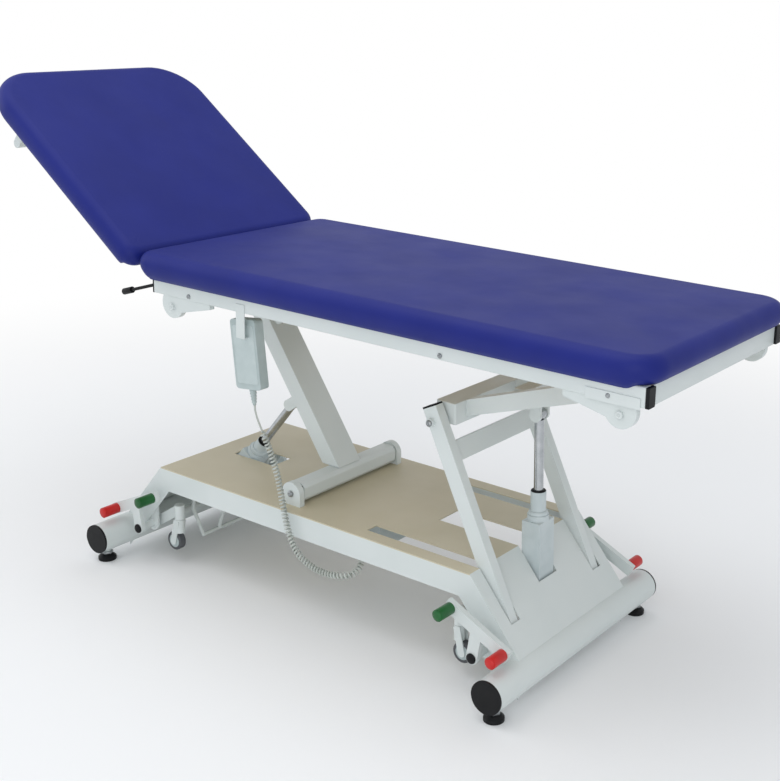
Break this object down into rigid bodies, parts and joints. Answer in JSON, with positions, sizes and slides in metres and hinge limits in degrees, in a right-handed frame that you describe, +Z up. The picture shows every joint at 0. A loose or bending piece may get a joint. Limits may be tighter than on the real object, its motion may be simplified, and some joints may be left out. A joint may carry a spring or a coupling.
{
  "type": "examination table",
  "caption": "Height-adjustable examination table with a padded seat, a rising backrest, two lift drives under the top and lift-down castors on its steel base.",
  "frame": {"origin": "centre of the object's footprint box on the floor, cord left out", "axes": "+X along the table towards the foot end, +Y across it towards the far side, +Z up"},
  "size_m": [1.9764, 0.67, 1.2318],
  "materials": {
    "beige_enamel": "powder-coated sheet steel, satin",
    "white_enamel": "powder-coated steel, satin",
    "black_plastic": "moulded polyamide, matt",
    "dark_plastic": "moulded housing, fine texture",
    "steel_rod": "ground steel rod",
    "black_enamel": "black lacquered steel tube",
    "blue_vinyl": "coated fabric with a fine leather grain",
    "board": "birch plywood",
    "grey_plastic": "moulded ABS, fine texture",
    "cord_jacket": "PVC cord jacket",
    "green_plastic": "moulded plastic",
    "red_plastic": "moulded plastic",
    "wheel_tread": "grey castor tread"
  },
  "bodies": {
    "base": {"deck_top": "beige_enamel", "head_slope": "white_enamel", "foot_slope": "white_enamel", "deck_skirts": "white_enamel", "head_cross_tube": "white_enamel", "foot_cross_tube": "white_enamel", "tube_end_caps": "black_plastic", "foot_stems": "white_enamel", "foot_pads": "black_plastic", "arm_bearings": "white_enamel", "leg_bearings": "white_enamel", "drive_brackets": "white_enamel", "shaft_bearings": "white_enamel", "control_box": "dark_plastic"},
    "foot_bar": {"foot_bar": "white_enamel"},
    "head_arm": {"arm_tube": "white_enamel", "arm_cross_tube": "white_enamel", "arm_brackets": "white_enamel"},
    "head_motor": {"head_motor": "grey_plastic"},
    "head_rod": {"head_rod": "steel_rod"},
    "leg_frame": {"near_leg": "white_enamel", "far_leg": "white_enamel", "leg_crossbar": "white_enamel", "leg_caps": "black_plastic"},
    "foot_motor": {"foot_motor": "grey_plastic"},
    "foot_rod": {"foot_rod": "steel_rod"},
    "table_frame": {"near_rail": "white_enamel", "far_rail": "white_enamel", "cross_members": "white_enamel", "rail_caps": "black_plastic", "foot_sleeves": "white_enamel", "disc_brackets": "white_enamel", "yoke": "white_enamel", "yoke_cross_tube": "white_enamel", "frame_lugs": "white_enamel", "seat_board": "board", "seat_cushion": "blue_vinyl", "handset_hook": "steel_rod", "handset": "grey_plastic", "handset_cord": "cord_jacket"},
    "backrest": {"back_cushion": "blue_vinyl", "back_board": "board", "back_frame": "white_enamel"},
    "gas_cylinder": {"gas_cylinder": "black_enamel"},
    "gas_rod": {"gas_rod": "steel_rod"},
    "release_lever": {"release_lever": "black_plastic"},
    "head_pedals": {"head_pedals": "white_enamel", "head_green_caps": "green_plastic", "head_red_caps": "red_plastic"},
    "foot_pedals": {"foot_pedals": "white_enamel", "foot_green_caps": "green_plastic", "foot_red_caps": "red_plastic"},
    "head_near_fork": {"head_near_fork": "white_enamel"},
    "head_near_wheel": {"head_near_wheel": "wheel_tread"},
    "head_far_fork": {"head_far_fork": "white_enamel"},
    "head_far_wheel": {"head_far_wheel": "wheel_tread"},
    "foot_near_fork": {"foot_near_fork": "white_enamel"},
    "foot_near_wheel": {"foot_near_wheel": "wheel_tread"},
    "foot_far_fork": {"foot_far_fork": "white_enamel"},
    "foot_far_wheel": {"foot_far_wheel": "wheel_tread"}
  },
  "joints": [
    {"name": "lift", "type": "hinge", "parent": "base", "child": "head_arm", "pos_m": [-0.03464, 0, 0.293], "axis": [0, 1, 0], "range_deg": [-39, 3], "deforming": ["handset_cord"]},
    {"name": "frame_level", "type": "hinge", "parent": "head_arm", "child": "table_frame", "pos_m": [-0.27065, 0, 0.73799], "axis": [0, 1, 0], "range_deg": [-3, 39]},
    {"name": "leg_swing", "type": "hinge", "parent": "base", "child": "leg_frame", "pos_m": [0.61837, 0, 0.12201], "axis": [0, 1, 0], "range_deg": [-39, 3]},
    {"name": "head_drive_tilt", "type": "hinge", "parent": "base", "child": "head_motor", "pos_m": [-0.44964, 0, 0.144], "axis": [0, 1, 0], "range_deg": [-0.82, 9.35]},
    {"name": "head_drive_stroke", "type": "slide", "parent": "head_motor", "child": "head_rod", "axis": [0.6376, 0, 0.7704], "range_m": [-0.14279, 0.01098]},
    {"name": "foot_drive_tilt", "type": "hinge", "parent": "base", "child": "foot_motor", "pos_m": [0.55736, 0, 0.14], "axis": [0, 1, 0], "range_deg": [-49.01, 3.77]},
    {"name": "foot_drive_stroke", "type": "slide", "parent": "foot_motor", "child": "foot_rod", "axis": [-0.0299, 0, 0.9996], "range_m": [-0.13823, 0.01063]},
    {"name": "back_tilt", "type": "hinge", "parent": "table_frame", "child": "backrest", "pos_m": [-0.44764, 0, 0.805], "axis": [0, 1, 0], "range_deg": [-36, 18]},
    {"name": "gas_tilt", "type": "hinge", "parent": "table_frame", "child": "gas_cylinder", "pos_m": [-0.12964, -0.12, 0.698], "axis": [0, 1, 0], "range_deg": [-8.45, 4.22]},
    {"name": "gas_stroke", "type": "slide", "parent": "gas_cylinder", "child": "gas_rod", "axis": [-0.9924, 0, 0.1228], "range_m": [-0.0508, 0.0254]},
    {"name": "lever_pull", "type": "hinge", "parent": "table_frame", "child": "release_lever", "pos_m": [-0.38764, -0.278, 0.77], "axis": [0, 1, 0], "range_deg": [0, 10], "stiffness_Nm_per_rad": 2, "springref_deg": -8.59},
    {"name": "foot_bar_press", "type": "hinge", "parent": "base", "child": "foot_bar", "pos_m": [-0.43964, 0, 0.19], "axis": [0, 1, 0], "range_deg": [0, 6], "stiffness_Nm_per_rad": 20},
    {"name": "head_brake", "type": "hinge", "parent": "base", "child": "head_pedals", "pos_m": [-0.50664, 0, 0.097], "axis": [0, 1, 0], "range_deg": [0, 26]},
    {"name": "foot_brake", "type": "hinge", "parent": "base", "child": "foot_pedals", "pos_m": [0.56736, 0, 0.097], "axis": [0, 1, 0], "range_deg": [-26, 0]},
    {"name": "head_near_swivel", "type": "hinge", "parent": "head_pedals", "child": "head_near_fork", "pos_m": [-0.42464, -0.2, 0.12], "axis": [0, 0, 1], "continuous": true},
    {"name": "head_near_roll", "type": "hinge", "parent": "head_near_fork", "child": "head_near_wheel", "pos_m": [-0.43864, -0.2, 0.061], "axis": [0, 1, 0], "continuous": true},
    {"name": "head_far_swivel", "type": "hinge", "parent": "head_pedals", "child": "head_far_fork", "pos_m": [-0.42464, 0.2, 0.12], "axis": [0, 0, 1], "continuous": true},
    {"name": "head_far_roll", "type": "hinge", "parent": "head_far_fork", "child": "head_far_wheel", "pos_m": [-0.43864, 0.2, 0.061], "axis": [0, 1, 0], "continuous": true},
    {"name": "foot_near_swivel", "type": "hinge", "parent": "foot_pedals", "child": "foot_near_fork", "pos_m": [0.48536, -0.2, 0.12], "axis": [0, 0, 1], "continuous": true},
    {"name": "foot_near_roll", "type": "hinge", "parent": "foot_near_fork", "child": "foot_near_wheel", "pos_m": [0.49936, -0.2, 0.061], "axis": [0, 1, 0], "continuous": true},
    {"name": "foot_far_swivel", "type": "hinge", "parent": "foot_pedals", "child": "foot_far_fork", "pos_m": [0.48536, 0.2, 0.12], "axis": [0, 0, 1], "continuous": true},
    {"name": "foot_far_roll", "type": "hinge", "parent": "foot_far_fork", "child": "foot_far_wheel", "pos_m": [0.49936, 0.2, 0.061], "axis": [0, 1, 0], "continuous": true}
  ],
  "couplings": [
    {"joint": "frame_level", "follows": "lift", "ratio": -1},
    {"joint": "leg_swing", "follows": "lift", "ratio": 1},
    {"joint": "head_drive_tilt", "follows": "lift", "ratio": -0.2351},
    {"joint": "head_drive_stroke", "follows": "lift", "m_per_rad": 0.20566},
    {"joint": "foot_drive_tilt", "follows": "lift", "ratio": 1.2319},
    {"joint": "foot_drive_stroke", "follows": "lift", "m_per_rad": 0.1991},
    {"joint": "gas_tilt", "follows": "back_tilt", "ratio": 0.2301},
    {"joint": "gas_stroke", "follows": "back_tilt", "m_per_rad": 0.07926}
  ]
}
